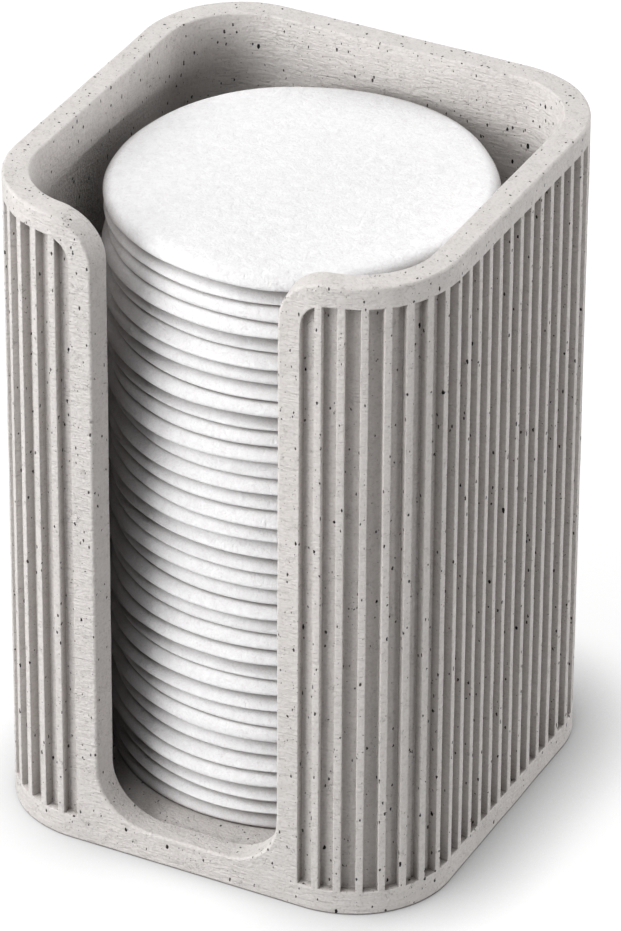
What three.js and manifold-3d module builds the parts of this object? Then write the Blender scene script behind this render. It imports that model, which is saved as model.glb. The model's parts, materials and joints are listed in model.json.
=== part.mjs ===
// Cotton pad holder: a square stone cup, fluted outside, open at the top and down its front,
// with a stack of round cotton pads standing in it.
// Millimetres, +Z up, the front with its slot faces -Y, origin at the middle of the underside.

import * as THREE from 'three';
import { mergeVertices } from 'three/addons/utils/BufferGeometryUtils.js';
import Module from 'manifold-3d';

const wasm = await Module();
wasm.setup();

// Holder, overall
const holder_width = 70;
const holder_depth = 70;
const holder_height = 105;
const corner_radius = 15.6;
const wall_thickness = 3.9;
const floor_thickness = 4.4;
const rim_rounding = 0.45;

// Front slot, open at the top
const slot_width = 29.3;
const sill_height = 5.0;
const slot_bottom_radius = 8.5;
const slot_lip_radius = 7.4;

// Flutes round the outside, kept inside plain bands and a plain border beside the slot
const flute_width = 2.2;
const flute_depth = 1.5;
const flute_pitch = 3.3;
const top_band = 3.45;
const bottom_band = 4.0;
const slot_border = 3.45;

// Cotton pads: as wide as the space inside, less the clearance all round that lets them drop in.
// The shares are of that clearance: how far the stack stands off centre, and how far each pad
// strays from the stack
const pad_count = 36;
const pad_clearance = 2.85;
const pad_thickness = 2.32;
const pad_edge_rounding = 0.75;
const pad_gap = 0.3;
const pad_plumpness_share = 0.12;
const pad_wander_share = 0.28;
const stack_right_share = 0.14;
const stack_back_share = 0.28;

// How far a cut runs past what it cuts
const cut_overrun = 2;

// Fineness of the round stretches
const corner_steps = 10;
const slot_arc_steps = 10;
const rim_steps = 3;
const pad_steps = 28;

const golden_angle = Math.PI * (3 - Math.sqrt(5));
const golden_share = (Math.sqrt(5) - 1) / 2;
const quarter_turn = Math.PI / 2;

const stone = new THREE.MeshStandardMaterial({ color: 0xcdc9c3, roughness: 0.85, metalness: 0 });
stone.name = 'speckled_stone';
const cotton = new THREE.MeshStandardMaterial({ color: 0xf6f6f4, roughness: 1, metalness: 0 });
cotton.name = 'cotton';

// A geometry with its points alone, those that coincide made one
function weld(geometry) {
  const bare = geometry.clone();
  bare.deleteAttribute('normal');
  bare.deleteAttribute('uv');
  return mergeVertices(bare, 1e-5);
}

// A closed geometry as a solid that can be cut
function solidFrom(geometry) {
  const merged = weld(geometry);
  return new wasm.Manifold(new wasm.Mesh({
    numProp: 3,
    vertProperties: new Float32Array(merged.attributes.position.array),
    triVerts: new Uint32Array(merged.index.array),
  }));
}

// A solid as a geometry to show
function geometryFrom(solid) {
  const mesh = solid.getMesh();
  const geometry = new THREE.BufferGeometry();
  geometry.setAttribute('position', new THREE.BufferAttribute(new Float32Array(mesh.vertProperties), 3));
  geometry.setIndex(new THREE.BufferAttribute(new Uint32Array(mesh.triVerts), 1));
  geometry.computeVertexNormals();
  return geometry;
}

// The holder's plan, drawn in from its outer face by an inset
function planShape(inset) {
  const half_x = holder_width / 2 - inset;
  const half_y = holder_depth / 2 - inset;
  const radius = Math.max(corner_radius - inset, rim_rounding);
  const shape = new THREE.Shape();
  shape.moveTo(half_x - radius, -half_y);
  shape.absarc(half_x - radius, radius - half_y, radius, -quarter_turn, 0, false);
  shape.absarc(half_x - radius, half_y - radius, radius, 0, quarter_turn, false);
  shape.absarc(radius - half_x, half_y - radius, radius, quarter_turn, 2 * quarter_turn, false);
  shape.absarc(radius - half_x, radius - half_y, radius, 2 * quarter_turn, 3 * quarter_turn, false);
  shape.closePath();
  return shape;
}

// The front slot seen from the front, let out by a margin: hollow corners at its foot,
// and lips that turn outwards to meet the rim
function slotShape(margin) {
  const half = slot_width / 2 + margin;
  const foot = sill_height - margin;
  const foot_radius = slot_bottom_radius + margin;
  const lip_radius = Math.max(slot_lip_radius - margin, 0);
  const lip_height = holder_height - margin - lip_radius;
  const top = holder_height + cut_overrun;
  const shape = new THREE.Shape();
  shape.moveTo(foot_radius - half, foot);
  shape.absarc(half - foot_radius, foot + foot_radius, foot_radius, -quarter_turn, 0, false);
  if (lip_radius > 0) {
    shape.absarc(half + lip_radius, lip_height, lip_radius, 2 * quarter_turn, quarter_turn, true);
  }
  shape.lineTo(half + lip_radius, top);
  shape.lineTo(-half - lip_radius, top);
  if (lip_radius > 0) {
    shape.absarc(-half - lip_radius, lip_height, lip_radius, quarter_turn, 0, true);
  }
  shape.absarc(foot_radius - half, foot + foot_radius, foot_radius, 2 * quarter_turn, 3 * quarter_turn, false);
  shape.closePath();
  return shape;
}

// The slot's shape pushed through the front wall, as far as the middle of the holder
function slotCut(margin) {
  const reach = holder_depth / 2 + cut_overrun;
  const geometry = new THREE.ExtrudeGeometry(slotShape(margin), {
    depth: reach, bevelEnabled: false, curveSegments: slot_arc_steps,
  });
  geometry.rotateX(quarter_turn);
  return solidFrom(geometry);
}

// The outer block, its top edge rounded and its underside cut flat
function outerBlock() {
  const geometry = new THREE.ExtrudeGeometry(planShape(0), {
    depth: holder_height + cut_overrun - rim_rounding,
    bevelEnabled: true,
    bevelSize: rim_rounding,
    bevelThickness: rim_rounding,
    bevelOffset: -rim_rounding,
    bevelSegments: rim_steps,
    curveSegments: corner_steps,
  });
  geometry.translate(0, 0, -cut_overrun);
  const ground = new THREE.BoxGeometry(
    holder_width + 2 * cut_overrun, holder_depth + 2 * cut_overrun, holder_height);
  ground.translate(0, 0, -holder_height / 2);
  return solidFrom(geometry).subtract(solidFrom(ground));
}

// The space inside the walls, from the floor up through the rim
function cavity() {
  const geometry = new THREE.ExtrudeGeometry(planShape(wall_thickness), {
    depth: holder_height - floor_thickness + cut_overrun,
    bevelEnabled: false,
    curveSegments: corner_steps,
  });
  geometry.translate(0, 0, floor_thickness);
  return solidFrom(geometry);
}

// A point on the outer face, at a distance walked from the middle of the front, with the
// heading of the face there
function outlineStation(distance) {
  const side = holder_depth - 2 * corner_radius;
  const back = holder_width - 2 * corner_radius;
  const corner = corner_radius * quarter_turn;
  let x = 0;
  let y = -holder_depth / 2;
  let heading = 0;
  let left = distance;
  for (const straight of [back / 2, side, back, side, back / 2]) {
    const run = Math.min(left, straight);
    x += run * Math.cos(heading);
    y += run * Math.sin(heading);
    left -= run;
    if (left <= 0) break;
    const turned = Math.min(left, corner);
    const centre_x = x - corner_radius * Math.sin(heading);
    const centre_y = y + corner_radius * Math.cos(heading);
    heading += turned / corner_radius;
    x = centre_x + corner_radius * Math.sin(heading);
    y = centre_y - corner_radius * Math.cos(heading);
    left -= turned;
    if (left <= 0) break;
  }
  return { x, y, heading };
}

// Every flute as one solid to cut away: upright grooves at an even pitch, from the border on
// one side of the slot round the back to the border on the other
function flutes() {
  const straights = 2 * (holder_width + holder_depth - 4 * corner_radius);
  const perimeter = straights + 4 * corner_radius * quarter_turn;
  const start = slot_width / 2 + slot_border;
  const span = perimeter - 2 * start - flute_width;
  const gaps = Math.floor(span / flute_pitch);
  const height = holder_height - top_band - bottom_band;
  const reach = flute_depth + cut_overrun;
  let cut = null;
  for (let index = 0; index <= gaps; index += 1) {
    const station = outlineStation(start + flute_width / 2 + (span * index) / gaps);
    const groove = new THREE.BoxGeometry(flute_width, reach, height);
    groove.translate(0, flute_depth - reach / 2, bottom_band + height / 2);
    groove.rotateZ(station.heading);
    groove.translate(station.x, station.y, 0);
    const solid = solidFrom(groove);
    cut = cut === null ? solid : cut.add(solid);
  }
  return cut;
}

function holder() {
  const body = outerBlock()
    .subtract(cavity())
    .subtract(slotCut(0))
    .subtract(flutes().subtract(slotCut(slot_border)));
  const mesh = new THREE.Mesh(geometryFrom(body), stone);
  mesh.name = 'holder';
  return mesh;
}

// One pad: a disc with soft round edges, its underside at zero
function padGeometry(thickness) {
  const space = Math.min(holder_width, holder_depth) - 2 * wall_thickness;
  const radius = space / 2 - pad_clearance;
  const round = Math.min(pad_edge_rounding, thickness / 2);
  const profile = [
    new THREE.Vector2(0, 0),
    new THREE.Vector2(radius - round, 0),
    new THREE.Vector2(radius, round),
    new THREE.Vector2(radius, thickness - round),
    new THREE.Vector2(radius - round, thickness),
    new THREE.Vector2(0, thickness),
  ];
  const turned = new THREE.LatheGeometry(profile, pad_steps);
  turned.rotateX(quarter_turn);
  const geometry = weld(turned);
  geometry.computeVertexNormals();
  return geometry;
}

// The stack, from the floor up: pads a little thicker and thinner by turns, each dropped in
// a little off centre
function padStack() {
  const stack = new THREE.Group();
  let height = floor_thickness + pad_gap;
  for (let index = 1; index <= pad_count; index += 1) {
    const thickness = pad_thickness * (1 + pad_plumpness_share * Math.sin(index * golden_angle));
    const angle = index * golden_angle;
    const wander = pad_clearance * pad_wander_share * ((index * golden_share) % 1);
    const pad = new THREE.Mesh(padGeometry(thickness), cotton);
    pad.name = `cotton_pad_${String(index).padStart(2, '0')}`;
    pad.position.set(
      pad_clearance * stack_right_share + wander * Math.cos(angle),
      pad_clearance * stack_back_share + wander * Math.sin(angle),
      height);
    stack.add(pad);
    height += thickness + pad_gap;
  }
  return stack;
}

const cotton_pad_holder = new THREE.Group();
cotton_pad_holder.add(holder());
cotton_pad_holder.add(padStack());

export default cotton_pad_holder;
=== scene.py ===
import json
import math

import bmesh
import bpy
from mathutils import Matrix, Vector, noise


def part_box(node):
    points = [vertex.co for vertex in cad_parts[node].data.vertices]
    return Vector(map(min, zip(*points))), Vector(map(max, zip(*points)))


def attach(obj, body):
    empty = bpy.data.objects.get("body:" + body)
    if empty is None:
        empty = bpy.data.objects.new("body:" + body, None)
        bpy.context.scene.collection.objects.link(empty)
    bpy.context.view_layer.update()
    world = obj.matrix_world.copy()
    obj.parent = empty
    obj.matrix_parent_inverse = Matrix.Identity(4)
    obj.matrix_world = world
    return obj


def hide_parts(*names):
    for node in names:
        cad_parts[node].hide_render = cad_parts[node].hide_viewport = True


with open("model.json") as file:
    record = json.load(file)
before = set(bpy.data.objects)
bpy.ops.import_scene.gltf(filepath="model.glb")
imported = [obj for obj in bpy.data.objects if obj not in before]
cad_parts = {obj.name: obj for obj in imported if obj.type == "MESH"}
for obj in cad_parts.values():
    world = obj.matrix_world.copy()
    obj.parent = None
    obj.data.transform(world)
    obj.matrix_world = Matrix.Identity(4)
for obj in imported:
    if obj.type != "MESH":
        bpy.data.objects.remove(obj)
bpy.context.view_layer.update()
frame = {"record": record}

# The casting. One piece of pale speckled stone, poured in a mould: a floor, four walls with
# round corners, a rim, and a slot down the middle of the front. Its edges leave the mould soft.
holder_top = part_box("holder")[1]
half_width = holder_top.x
holder_height = holder_top.z
corner_radius = 0.0156
wall_thickness = 0.0039
floor_level = 0.0044
sill_level = 0.0050
slot_half = 0.01465
slot_foot_radius = 0.0085
slot_lip_radius = 0.0074
slot_corner_segments = 14
slot_border = 0.00345
slot_draft = 0.0006
outer_rounding = 0.00045
outer_segments = 4
inner_rounding = 0.0003
inner_segments = 3
ground_rounding = 0.0004
ground_segments = 2

straight_run = 2 * (half_width - corner_radius)
corner_run = corner_radius * math.pi / 2
half_girth = 2 * straight_run + 2 * corner_run
close = 1e-6


def vertex_at(mesh, s, z):
    return min(mesh.verts, key=lambda v: (v.co - Vector((s, 0, z))).length)


def round_corner(mesh, s, z, radius):
    bmesh.ops.bevel(
        mesh, geom=[vertex_at(mesh, s, z)], affect="VERTICES", offset=radius,
        offset_type="OFFSET", segments=slot_corner_segments, profile=0.5, material=-1,
        clamp_overlap=False)


def round_edges(mesh, edges, radius, segments):
    bmesh.ops.bevel(
        mesh, geom=edges, affect="EDGES", offset=radius, offset_type="OFFSET",
        segments=segments, profile=0.5, material=-1, clamp_overlap=False, loop_slide=True)


def ends(edge, axis):
    return [v.co[axis] for v in edge.verts]


def at(values, level):
    return all(abs(value - level) < close for value in values)


def flat_wall():
    """Half of the wall laid out flat: X from the middle of the front to the middle of the back,
    Y from the outside in, Z up."""
    mesh = bmesh.new()
    outline = [
        (0, 0), (half_girth, 0), (half_girth, holder_height),
        (slot_half, holder_height), (slot_half, sill_level), (0, sill_level)]
    mesh.faces.new([mesh.verts.new((s, 0, z)) for s, z in outline])
    round_corner(mesh, slot_half, holder_height, slot_lip_radius)
    round_corner(mesh, slot_half, sill_level, slot_foot_radius)
    made = bmesh.ops.extrude_face_region(mesh, geom=mesh.faces[:])
    inner = [v for v in made["geom"] if isinstance(v, bmesh.types.BMVert)]
    bmesh.ops.translate(mesh, verts=inner, vec=(0, wall_thickness, 0))
    lip_end = slot_half + slot_lip_radius + close
    slot_side = [v for v in inner if close < v.co.x < lip_end and v.co.z > close]
    bmesh.ops.translate(mesh, verts=slot_side, vec=(-slot_draft, 0, 0))
    bmesh.ops.recalc_face_normals(mesh, faces=mesh.faces[:])
    cut_ends = [
        f for f in mesh.faces
        if at([v.co.x for v in f.verts], 0) or at([v.co.x for v in f.verts], half_girth)]
    bmesh.ops.delete(mesh, geom=cut_ends, context="FACES_ONLY")
    return mesh


def free_edges_at(mesh, inset):
    """The edges at one depth of the wall that end up neither on a seam nor on the ground."""
    return [
        e for e in mesh.edges
        if at(ends(e, 1), inset)
        and not (at(ends(e, 0), 0) or at(ends(e, 0), half_girth) or at(ends(e, 2), 0))]


def soften_outline(mesh):
    round_edges(mesh, free_edges_at(mesh, 0), outer_rounding, outer_segments)
    round_edges(mesh, free_edges_at(mesh, wall_thickness), inner_rounding, inner_segments)
    foot = [e for e in mesh.edges if at(ends(e, 1), 0) and at(ends(e, 2), 0)]
    round_edges(mesh, foot, ground_rounding, ground_segments)


def cut(mesh, place, direction):
    bmesh.ops.bisect_plane(
        mesh, geom=mesh.verts[:] + mesh.edges[:] + mesh.faces[:],
        dist=close, plane_co=place, plane_no=direction)


casting = flat_wall()
soften_outline(casting)

# The flutes. Upright grooves with narrow ribs between them, part of the same casting, at one
# pitch all the way round. They stop short of plain bands at the top and the foot, and of a
# plain border beside the slot, whose round corner the first flute follows.
flute_width = 0.0022
flute_depth = 0.0015
flute_pitch = 0.0033
flute_rounding = 0.00013
flute_segments = 2
top_band = 0.00345
bottom_band = 0.0040
first_flute = slot_half + slot_border
first_flute_cut_shares = (0.06, 0.2, 0.4, 0.65)
flute_span = 2 * half_girth - 2 * first_flute - flute_width
flute_gaps = math.floor(flute_span / flute_pitch)
flute_step = flute_span / flute_gaps
flute_starts = [first_flute + index * flute_step for index in range((flute_gaps + 1) // 2)]
flute_top = holder_height - top_band
border_centre_s = slot_half + slot_lip_radius
border_centre_z = holder_height - slot_lip_radius
border_radius = slot_lip_radius - slot_border
courses = 24
sharp_turn = 1.0


def flute_under(s):
    return any(start - close < s < start + flute_width + close for start in flute_starts)


def cut_flutes(mesh):
    for share in first_flute_cut_shares:
        cut(mesh, (first_flute + share * flute_width, 0, 0), (1, 0, 0))
    for start in flute_starts:
        cut(mesh, (start, 0, 0), (1, 0, 0))
        cut(mesh, (start + flute_width / 2, 0, 0), (1, 0, 0))
        cut(mesh, (start + flute_width, 0, 0), (1, 0, 0))
        cut(mesh, (start + (flute_width + flute_step) / 2, 0, 0), (1, 0, 0))
    cut(mesh, (0, 0, floor_level), (0, 0, 1))
    cut(mesh, (0, 0, bottom_band), (0, 0, 1))
    cut(mesh, (0, 0, flute_top), (0, 0, 1))
    for course in range(1, courses):
        level = bottom_band + (border_centre_z - bottom_band) * course / courses
        cut(mesh, (0, 0, level), (0, 0, 1))
    for v in mesh.verts:
        near_corner = first_flute - close < v.co.x < border_centre_s
        if near_corner and abs(v.co.y) < close and abs(v.co.z - flute_top) < close:
            reach = border_centre_s - v.co.x
            v.co.z = border_centre_z + math.sqrt(max(border_radius ** 2 - reach ** 2, 0))


def press_flutes(mesh):
    floors = []
    for f in mesh.faces:
        middle = f.calc_center_median()
        levels = [v.co.z for v in f.verts]
        between_bands = min(levels) > bottom_band - close and max(levels) < flute_top + close
        if at([v.co.y for v in f.verts], 0) and between_bands and flute_under(middle.x):
            floors.append(f)
    made = bmesh.ops.extrude_face_region(mesh, geom=floors)
    sunk = [v for v in made["geom"] if isinstance(v, bmesh.types.BMVert)]
    bmesh.ops.translate(mesh, verts=sunk, vec=(0, flute_depth, 0))
    bmesh.ops.delete(mesh, geom=floors, context="FACES")
    sharp = []
    for e in mesh.edges:
        level = at(ends(e, 1), 0) or at(ends(e, 1), flute_depth)
        inside = min(ends(e, 2)) > bottom_band - close and max(ends(e, 2)) < flute_top + close
        if level and inside and len(e.link_faces) == 2 and e.calc_face_angle() > sharp_turn:
            sharp.append(e)
    round_edges(mesh, sharp, flute_rounding, flute_segments)


cut_flutes(casting)
press_flutes(casting)

# Closing the cup. The flat wall is wrapped round the plan and mirrored, and the floor and the
# underside close it. The surface then gets the slight unevenness of a hand-poured piece. Where
# two faces meet sharply, as the wall and the floor do inside, the shading breaks.
unevenness = 0.00006
uneven_scale = 160


def wrap(s, inset, z):
    """A place on the unrolled wall, carried round the plan of the cup."""
    x, y, heading = 0.0, -half_width, 0.0
    for run in (straight_run / 2, straight_run, straight_run / 2):
        along = min(s, run)
        x += along * math.cos(heading)
        y += along * math.sin(heading)
        s -= along
        turned = min(s, corner_run)
        centre_x = x - corner_radius * math.sin(heading)
        centre_y = y + corner_radius * math.cos(heading)
        heading += turned / corner_radius
        x = centre_x + corner_radius * math.sin(heading)
        y = centre_y - corner_radius * math.cos(heading)
        s -= turned
        if s <= 0:
            break
    return Vector((x - inset * math.sin(heading), y + inset * math.cos(heading), z))


def close_cup(mesh):
    skirt = [
        f for f in mesh.faces
        if at([v.co.y for v in f.verts], wall_thickness)
        and f.calc_center_median().z < floor_level]
    bmesh.ops.delete(mesh, geom=skirt, context="FACES")
    for v in mesh.verts:
        v.co = wrap(*v.co)
    bmesh.ops.mirror(
        mesh, geom=mesh.verts[:] + mesh.edges[:] + mesh.faces[:],
        matrix=Matrix.Identity(4), merge_dist=close, axis="X")
    bmesh.ops.remove_doubles(mesh, verts=mesh.verts[:], dist=close)
    open_edges = [e for e in mesh.edges if len(e.link_faces) == 1]
    bmesh.ops.edgeloop_fill(mesh, edges=open_edges)
    bmesh.ops.recalc_face_normals(mesh, faces=mesh.faces[:])
    for e in mesh.edges:
        e.smooth = e.calc_face_angle() < sharp_turn


def roughen(mesh, amount, scale):
    for v in mesh.verts:
        if v.co.z > close:
            v.co += v.normal * amount * noise.noise(v.co * scale)


def finished_piece(name, mesh, material):
    data = bpy.data.meshes.new(name)
    mesh.to_mesh(data)
    mesh.free()
    data.polygons.foreach_set("use_smooth", [True] * len(data.polygons))
    data.materials.append(material)
    piece = bpy.data.objects.new(name, data)
    bpy.context.scene.collection.objects.link(piece)
    return piece


close_cup(casting)
roughen(casting, unevenness, uneven_scale)

# Speckled stone. A matte warm grey body, clouded and gritty, with dark specks of three sizes,
# ragged and partly drawn out long, and a few fine curled marks. The mould left faint drag marks
# on it. Where the cup is deep and narrow, painted shade darkens the colour.
stone_pale = (222, 217, 214)
stone_warm = (216, 212, 209)
stone_cloud = (188, 183, 178)
stone_grit = (150, 144, 139)
# The colour of the painted shade in the hollows and grooves.
stone_shade = (88, 78, 72)
stone_shade_reach = 0.014
curl_colour = (90, 84, 80)
dust_colour = (96, 90, 86)
grain_colour = (42, 38, 36)
chip_colour = (20, 18, 18)
speck_least = 0.45
speck_core = 0.85


def linear(red, green, blue):
    """A colour as a paint chart gives it, 0 to 255, as the shader wants it."""
    return tuple(
        (c / 255 / 12.92) if c / 255 <= 0.04045 else ((c / 255 + 0.055) / 1.055) ** 2.4
        for c in (red, green, blue)) + (1.0,)


def new_group(name, inputs, outputs):
    group = bpy.data.node_groups.new(name, "ShaderNodeTree")
    for label, kind in inputs:
        group.interface.new_socket(name=label, in_out="INPUT", socket_type=kind)
    for label, kind in outputs:
        group.interface.new_socket(name=label, in_out="OUTPUT", socket_type=kind)
    source = group.nodes.new("NodeGroupInput")
    sink = group.nodes.new("NodeGroupOutput")
    return group, source, sink


def join(tree, source, target):
    tree.links.new(source, target)


def add_math(tree, operation, *values):
    node = tree.nodes.new("ShaderNodeMath")
    node.operation = operation
    for socket, value in zip(node.inputs, values):
        if isinstance(value, (int, float)):
            socket.default_value = value
        else:
            join(tree, value, socket)
    return node.outputs[0]


def speck_group():
    """Grains scattered through the stone, cut through wherever the surface runs."""
    group, source, sink = new_group(
        "stone_specks",
        [("Vector", "NodeSocketVector"), ("Scale", "NodeSocketFloat"),
         ("Size", "NodeSocketFloat"), ("Share", "NodeSocketFloat")],
        [("Mask", "NodeSocketFloat")])
    cells = group.nodes.new("ShaderNodeTexVoronoi")
    cells.feature = "F1"
    join(group, source.outputs["Vector"], cells.inputs["Vector"])
    join(group, source.outputs["Scale"], cells.inputs["Scale"])
    chance = group.nodes.new("ShaderNodeSeparateColor")
    join(group, cells.outputs["Color"], chance.inputs["Color"])
    there = add_math(group, "LESS_THAN", chance.outputs["Red"], source.outputs["Share"])
    spread = add_math(
        group, "MULTIPLY_ADD", chance.outputs["Green"], 1 - speck_least, speck_least)
    radius = add_math(group, "MULTIPLY", source.outputs["Size"], spread)
    core = add_math(group, "MULTIPLY", radius, speck_core)
    edge = group.nodes.new("ShaderNodeMapRange")
    edge.interpolation_type = "SMOOTHSTEP"
    join(group, cells.outputs["Distance"], edge.inputs["Value"])
    join(group, core, edge.inputs["From Min"])
    join(group, radius, edge.inputs["From Max"])
    edge.inputs["To Min"].default_value = 1.0
    edge.inputs["To Max"].default_value = 0.0
    join(group, add_math(group, "MULTIPLY", edge.outputs["Result"], there), sink.inputs["Mask"])
    return group


def add_specks(tree, specks, vector, scale, size, share):
    node = tree.nodes.new("ShaderNodeGroup")
    node.node_tree = specks
    join(tree, vector, node.inputs["Vector"])
    node.inputs["Scale"].default_value = scale
    node.inputs["Size"].default_value = size
    node.inputs["Share"].default_value = share
    return node.outputs["Mask"]


def add_mapping(tree, source, scale, turn=(0, 0, 0)):
    node = tree.nodes.new("ShaderNodeMapping")
    node.inputs["Scale"].default_value = scale
    node.inputs["Rotation"].default_value = turn
    join(tree, source, node.inputs["Vector"])
    return node.outputs["Vector"]


def add_noise(tree, vector, scale, detail, roughness=0.5, distortion=0.0):
    node = tree.nodes.new("ShaderNodeTexNoise")
    node.inputs["Scale"].default_value = scale
    node.inputs["Detail"].default_value = detail
    node.inputs["Roughness"].default_value = roughness
    node.inputs["Distortion"].default_value = distortion
    join(tree, vector, node.inputs["Vector"])
    return node.outputs["Fac"]


def add_wobble(tree, vector, scale, reach):
    """Pushes a place about by a noise, so that what is drawn there comes out ragged."""
    node = tree.nodes.new("ShaderNodeTexNoise")
    node.inputs["Scale"].default_value = scale
    node.inputs["Detail"].default_value = 1.0
    join(tree, vector, node.inputs["Vector"])
    push = tree.nodes.new("ShaderNodeVectorMath")
    push.operation = "MULTIPLY_ADD"
    push.inputs[1].default_value = (reach, reach, reach)
    join(tree, node.outputs["Color"], push.inputs[0])
    join(tree, vector, push.inputs[2])
    return push.outputs[0]


def add_range(tree, value, low, high, to_low=0.0, to_high=1.0):
    node = tree.nodes.new("ShaderNodeMapRange")
    node.inputs["From Min"].default_value = low
    node.inputs["From Max"].default_value = high
    node.inputs["To Min"].default_value = to_low
    node.inputs["To Max"].default_value = to_high
    join(tree, value, node.inputs["Value"])
    return node.outputs["Result"]


def add_mix(tree, share, first, second):
    node = tree.nodes.new("ShaderNodeMix")
    node.data_type = "RGBA"
    for index, value in ((0, share), (6, first), (7, second)):
        if isinstance(value, (int, float, tuple)):
            node.inputs[index].default_value = value
        else:
            join(tree, value, node.inputs[index])
    return node.outputs[2]


def add_marks(tree, marks, strength, colour, marked):
    """Lays marks of one colour over another, as strongly as they should show."""
    return add_mix(tree, add_math(tree, "MULTIPLY", marks, strength), colour, linear(*marked))


def add_openness(tree, reach, samples=8):
    """How open a place lies: 1 out in the open, towards 0 deep in a hollow."""
    node = tree.nodes.new("ShaderNodeAmbientOcclusion")
    node.samples = samples
    node.inputs["Distance"].default_value = reach
    return node.outputs["AO"]


def add_bump(tree, height, strength, distance, normal=None):
    node = tree.nodes.new("ShaderNodeBump")
    node.inputs["Strength"].default_value = strength
    node.inputs["Distance"].default_value = distance
    join(tree, height, node.inputs["Height"])
    if normal is not None:
        join(tree, normal, node.inputs["Normal"])
    return node.outputs["Normal"]


def new_material(name):
    material = bpy.data.materials.new(name)
    material.use_nodes = True
    tree = material.node_tree
    tree.nodes.clear()
    shader = tree.nodes.new("ShaderNodeBsdfPrincipled")
    sink = tree.nodes.new("ShaderNodeOutputMaterial")
    join(tree, shader.outputs["BSDF"], sink.inputs["Surface"])
    return material, tree, shader


def speckled_stone():
    material, tree, shader = new_material("speckled_stone")
    place = tree.nodes.new("ShaderNodeTexCoord").outputs["Object"]
    specks = speck_group()

    ragged = add_wobble(tree, place, scale=2600, reach=0.00028)
    slanted = add_mapping(tree, ragged, scale=(1.25, 0.85, 0.6), turn=(0.2, -0.6, 0.9))
    stretched = add_mapping(tree, ragged, scale=(0.9, 1.5, 0.5), turn=(0.7, 0.4, 0.0))
    dust = add_specks(tree, specks, ragged, scale=1500, size=0.18, share=0.5)
    grains = add_specks(tree, specks, slanted, scale=1000, size=0.21, share=0.45)
    chips = add_specks(tree, specks, stretched, scale=560, size=0.14, share=0.55)

    winding = add_noise(tree, place, scale=620, detail=2, distortion=1.2)
    off_line = add_math(tree, "ABSOLUTE", add_math(tree, "SUBTRACT", winding, 0.5))
    line = add_range(tree, off_line, low=0.0, high=0.012, to_low=1.0, to_high=0.0)
    thinned = add_range(tree, add_noise(tree, place, scale=430, detail=1), low=0.56, high=0.64)
    curls = add_math(tree, "MULTIPLY", line, thinned)

    upright = add_mapping(tree, place, scale=(1, 1, 0.25))
    tint = add_range(tree, add_noise(tree, upright, scale=75, detail=2), low=0.35, high=0.65)
    colour = add_mix(tree, tint, linear(*stone_pale), linear(*stone_warm))
    clouds = add_noise(tree, place, scale=700, detail=5, roughness=0.7)
    clouded = add_range(tree, clouds, low=0.35, high=0.75, to_high=0.35)
    colour = add_mix(tree, clouded, colour, linear(*stone_cloud))
    grit = add_noise(tree, place, scale=2300, detail=3, roughness=0.6)
    gritty = add_range(tree, grit, low=0.3, high=0.5, to_low=0.25, to_high=0.0)
    colour = add_mix(tree, gritty, colour, linear(*stone_grit))
    # Painted shade: the colour is pulled towards a dark brown wherever the stone lies deep in a
    # hollow.
    openness = add_openness(tree, stone_shade_reach)
    unshaded = add_range(tree, openness, low=0.16, high=0.42, to_low=0.2)
    colour = add_mix(tree, unshaded, linear(*stone_shade), colour)
    colour = add_marks(tree, curls, 0.45, colour, curl_colour)
    colour = add_marks(tree, dust, 0.72, colour, dust_colour)
    colour = add_marks(tree, grains, 0.95, colour, grain_colour)
    colour = add_mix(tree, chips, colour, linear(*chip_colour))
    join(tree, colour, shader.inputs["Base Color"])

    peel = add_noise(tree, place, scale=800, detail=2, distortion=2.0)
    dragged = add_mapping(tree, place, scale=(1.0, 1.0, 6.0), turn=(0.1, 0.06, 0))
    drag = add_noise(tree, dragged, scale=320, detail=3, roughness=0.6, distortion=0.6)
    pits = add_math(tree, "SUBTRACT", 1.0, add_math(tree, "MAXIMUM", curls, grains))
    normal = add_bump(tree, peel, strength=0.5, distance=0.00022)
    normal = add_bump(tree, drag, strength=0.9, distance=0.00025, normal=normal)
    normal = add_bump(tree, grit, strength=0.6, distance=0.00018, normal=normal)
    normal = add_bump(tree, pits, strength=0.6, distance=0.00015, normal=normal)
    join(tree, normal, shader.inputs["Normal"])
    shader.inputs["Roughness"].default_value = 0.8
    shader.inputs["Specular IOR Level"].default_value = 0.35
    return material


holder = finished_piece("holder_casting", casting, speckled_stone())
weighting = holder.modifiers.new("even_shading", "WEIGHTED_NORMAL")
weighting.mode = "FACE_AREA"
weighting.keep_sharp = True
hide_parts("holder")
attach(holder, "holder")

# The cotton pads. Discs of pressed cotton fibre, punched from a sheet, so that the edge lies low
# and slopes up to the face, a little differently on each. They are thrown in one on the other
# and have settled into slow waves that they share. The uppermost ones ride on their own bodies.
pad_turns = 112
pad_hem = 0.0004
pad_hem_steps = 3
pad_shoulder = 0.0019
pad_shoulder_steps = 8
pad_slope = 1.6
pad_ring_shares = (0.12, 0.3, 0.5, 0.68, 0.82, 0.92)
pad_centre_share = 0.01
pad_proud = 0.0001
pad_spread = 0.0007
pad_variety = 0.7
pad_strides = (3.7, 1.9, 5.3)
shoulder_stride = 1.7
slope_stride = 2.3
pad_swell = 0.00007
pad_swell_scale = 160
pad_ripple = 0.000308
pad_ripple_scale = 55
pad_sway = 0.00045
pad_sway_scale = 42
pad_sway_start = 0.012
cotton_white = (248, 248, 249)
cotton_dull = (241, 240, 241)
cotton_fibre = (214, 209, 208)
# The colour of the painted shade between the pads and beside the walls of the cup.
cotton_painted_shade = (118, 110, 106)
cotton_shade_reach = 0.014


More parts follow.
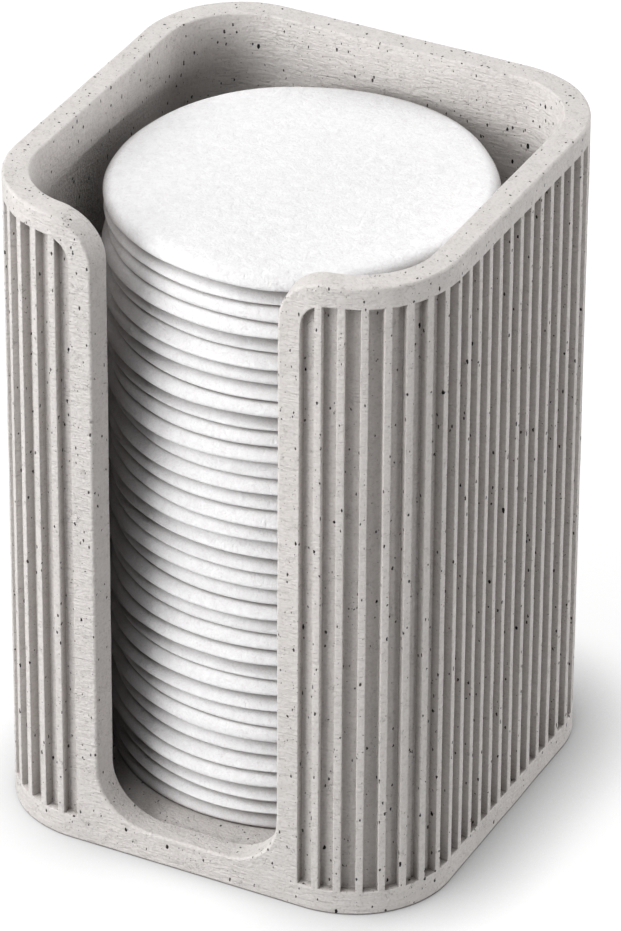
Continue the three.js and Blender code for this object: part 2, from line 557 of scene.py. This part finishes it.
def pad_profile(radius, shoulder, slope, thick):
    """Half of a pad's cross-section: out along the underside, round the edge and back."""
    rim = radius - shoulder
    profile = [(0.0, 0.0)]
    profile += [(rim * share, 0.0) for share in pad_ring_shares]
    for step in range(pad_hem_steps):
        turn = math.pi / 2 * step / pad_hem_steps
        out = radius - pad_hem + pad_hem * math.sin(turn)
        profile.append((out, pad_hem - pad_hem * math.cos(turn)))
    for step in range(pad_shoulder_steps + 1):
        turn = math.pi / 2 * step / pad_shoulder_steps
        out = rim + shoulder * max(math.cos(turn), 0) ** slope
        profile.append((out, pad_hem + (thick - pad_hem) * math.sin(turn) ** slope))
    profile += [(rim * share, thick) for share in reversed(pad_ring_shares)]
    profile += [(0.0, thick)]
    return profile


def pad_mesh(low, high, number):
    """A pad turned from half of its cross-section, then made uneven as cotton is."""
    foot = Vector(((low.x + high.x) / 2, (low.y + high.y) / 2, low.z - pad_proud))
    thick = high.z - low.z + 2 * pad_proud
    shift = Vector([number * stride for stride in pad_strides])
    radius = (high.x - low.x) / 2 + pad_spread * noise.noise(shift)
    shoulder = pad_shoulder * (1 + pad_variety * noise.noise(shift * shoulder_stride))
    slope = pad_slope * (1 + pad_variety * noise.noise(shift * slope_stride))
    mesh = bmesh.new()
    profile = pad_profile(radius, shoulder, slope, thick)
    verts = [mesh.verts.new((x, 0, z)) for x, z in profile]
    edges = [mesh.edges.new(pair) for pair in zip(verts, verts[1:])]
    bmesh.ops.spin(
        mesh, geom=verts + edges, cent=(0, 0, 0), axis=(0, 0, 1), dvec=(0, 0, 0),
        angle=2 * math.pi, steps=pad_turns, use_merge=True)
    bmesh.ops.remove_doubles(mesh, verts=mesh.verts[:], dist=close)
    bmesh.ops.recalc_face_normals(mesh, faces=mesh.faces[:])
    for v in mesh.verts:
        flat = Vector((v.co.x, v.co.y, 0))
        around = flat.length / radius
        ripple = pad_ripple * around * noise.noise(flat * pad_ripple_scale + shift)
        swell = pad_swell * noise.noise(v.co * pad_swell_scale + shift)
        out = flat.normalized() if around > pad_centre_share else Vector((0, 0, 0))
        v.co += out * ripple + v.normal * swell
    bmesh.ops.translate(mesh, verts=mesh.verts[:], vec=foot)
    for v in mesh.verts:
        share = min(max(v.co.z - floor_level, 0) / pad_sway_start, 1)
        v.co.z += share * pad_sway * noise.noise(v.co * pad_sway_scale)
    return mesh


def pressed_cotton():
    material, tree, shader = new_material("pressed_cotton")
    place = tree.nodes.new("ShaderNodeTexCoord").outputs["Object"]
    fibres = add_noise(tree, place, scale=1100, detail=4, roughness=0.7, distortion=2.5)
    drawn = add_mapping(tree, place, scale=(1, 1, 0.3))
    strands = add_noise(tree, drawn, scale=1500, detail=3, roughness=0.6, distortion=1.0)
    lumps = add_noise(tree, place, scale=700, detail=4, roughness=0.6, distortion=0.8)
    lumpy = add_range(tree, lumps, low=0.35, high=0.65)
    colour = add_mix(tree, lumpy, linear(*cotton_white), linear(*cotton_dull))
    fibrous = add_range(tree, fibres, low=0.3, high=0.5, to_low=0.45, to_high=0.0)
    colour = add_mix(tree, fibrous, colour, linear(*cotton_fibre))
    # Painted shade: the colour darkens in the crevices between pads and where a pad lies close
    # to a wall.
    unshaded = add_range(tree, add_openness(tree, cotton_shade_reach), low=0.1, high=0.7)
    colour = add_mix(tree, unshaded, linear(*cotton_painted_shade), colour)
    join(tree, colour, shader.inputs["Base Color"])
    normal = add_bump(tree, lumps, strength=0.6, distance=0.0003)
    normal = add_bump(tree, strands, strength=0.4, distance=0.0002, normal=normal)
    normal = add_bump(tree, fibres, strength=0.5, distance=0.0002, normal=normal)
    join(tree, normal, shader.inputs["Normal"])
    shader.inputs["Roughness"].default_value = 1.0
    shader.inputs["Specular IOR Level"].default_value = 0.1
    shader.inputs["Sheen Weight"].default_value = 0.25
    return material


cotton = pressed_cotton()
bodies = frame["record"]["behaviour"]["bodies"]
for body, nodes in bodies.items():
    for node in nodes:
        if node.startswith("cotton_pad_"):
            mesh = pad_mesh(*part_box(node), int(node[-2:]))
            pad = finished_piece("round_" + node, mesh, cotton)
            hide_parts(node)
            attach(pad, body)

# The table. A plain white top that runs past the picture on every side. The camera sees it
# glowing bright but for a painted shadow close round the cup, deeper on the side away from the
# lamps, and it throws only a little light back up.
table_size = 6.0
table_roughness = 0.9
table_bounce = (0.35, 0.35, 0.35, 1)
table_seen = (0.2, 0.2, 0.2, 1)
table_glow = 0.84
table_least_glow = 0.03
table_shade_reach = 0.016
table_shade_samples = 12
table_shade_lean = (-0.3, -0.3, 1)


def white_table():
    material, tree, shader = new_material("white_table")
    shader.inputs["Roughness"].default_value = table_roughness
    shader.inputs["Emission Color"].default_value = (1, 1, 1, 1)
    seen = tree.nodes.new("ShaderNodeLightPath").outputs["Is Camera Ray"]
    join(tree, add_mix(tree, seen, table_bounce, table_seen), shader.inputs["Base Color"])
    # Painted shadow: the glow the camera sees drops close round the cup, more on the side the
    # lean points to.
    openness = add_openness(tree, table_shade_reach, table_shade_samples)
    leaning = tree.nodes.new("ShaderNodeCombineXYZ")
    for socket, value in zip(leaning.inputs, Vector(table_shade_lean).normalized()):
        socket.default_value = value
    join(tree, leaning.outputs["Vector"], openness.node.inputs["Normal"])
    unshaded = add_range(tree, openness, low=0.2, high=0.97, to_high=table_glow)
    glow = add_math(tree, "MULTIPLY", seen, unshaded)
    glow = add_math(tree, "MAXIMUM", glow, table_least_glow)
    join(tree, glow, shader.inputs["Emission Strength"])
    return material


table_mesh = bmesh.new()
bmesh.ops.create_grid(table_mesh, x_segments=1, y_segments=1, size=table_size / 2)
table_top = finished_piece("table_top", table_mesh, white_table())

# The light. Six soft round lamps stand in a ring round the cup: two on the left in front and one
# behind do most, one fills from high in front, and two low and weak ones on the right reach the
# side and the slot. A faint sky keeps the shadows from going black.
sky_strength = 0.01
lamp_distance = 1.3
cup_middle = Vector((0, 0, holder_height / 2))

sky = bpy.data.worlds.new("pale_sky")
sky.use_nodes = True
sky.node_tree.nodes["Background"].inputs["Color"].default_value = (1.0, 1.0, 1.0, 1.0)
sky.node_tree.nodes["Background"].inputs["Strength"].default_value = sky_strength
bpy.context.scene.world = sky


def outward(azimuth, elevation):
    """The way out from the cup, in degrees round from its front to its right, and up."""
    a, e = math.radians(azimuth), math.radians(elevation)
    return Vector((math.sin(a) * math.cos(e), -math.cos(a) * math.cos(e), math.sin(e)))


def add_lamp(name, azimuth, elevation, size, power):
    back = outward(azimuth, elevation)
    data = bpy.data.lights.new(name, "AREA")
    data.shape = "DISK"
    data.size = size
    data.energy = power
    lamp = bpy.data.objects.new(name, data)
    lamp.location = cup_middle + back * lamp_distance
    lamp.rotation_mode = "QUATERNION"
    lamp.rotation_quaternion = (-back).to_track_quat("-Z", "Y")
    bpy.context.scene.collection.objects.link(lamp)


add_lamp("key_lamp", azimuth=-60, elevation=40, size=0.9, power=9.2)
add_lamp("low_front_lamp", azimuth=-30, elevation=22, size=0.8, power=11.8)
add_lamp("high_front_lamp", azimuth=0, elevation=58, size=0.6, power=3.0)
add_lamp("back_lamp", azimuth=170, elevation=40, size=0.7, power=9.8)
add_lamp("low_right_lamp", azimuth=100, elevation=7, size=0.3, power=4.4)
add_lamp("slot_side_lamp", azimuth=78, elevation=7, size=0.3, power=2.6)
bpy.context.scene.view_settings.view_transform = "Standard"

# The camera. A long lens from the right and above, as fitted to the outline of the cup, turned
# by a third of a degree and aimed a little beside the cup's middle.
camera_azimuth = 26.84
camera_elevation = 31.93
camera_roll = 0.33
camera_distance = 0.9676
camera_right = 0.00194
camera_up = -0.00159
camera_reach = 20
sensor_width = 36
focal_pixels = 6643
frame_long_side = 931

back = outward(camera_azimuth, camera_elevation)
turn = math.radians(camera_azimuth)
level = Vector((math.cos(turn), math.sin(turn), 0))
upright = back.cross(level)
tilt = math.radians(camera_roll)
right = level * math.cos(tilt) + upright * math.sin(tilt)
up = upright * math.cos(tilt) - level * math.sin(tilt)
eye = cup_middle + back * camera_distance + right * camera_right + up * camera_up
camera_data = bpy.data.cameras.new("portrait_camera")
camera_data.sensor_width = sensor_width
camera_data.lens = focal_pixels * sensor_width / frame_long_side
camera_data.clip_end = camera_reach
camera = bpy.data.objects.new("portrait_camera", camera_data)
camera.matrix_world = Matrix((
    (right.x, up.x, back.x, eye.x),
    (right.y, up.y, back.y, eye.y),
    (right.z, up.z, back.z, eye.z),
    (0, 0, 0, 1)))
bpy.context.scene.collection.objects.link(camera)
bpy.context.scene.camera = camera
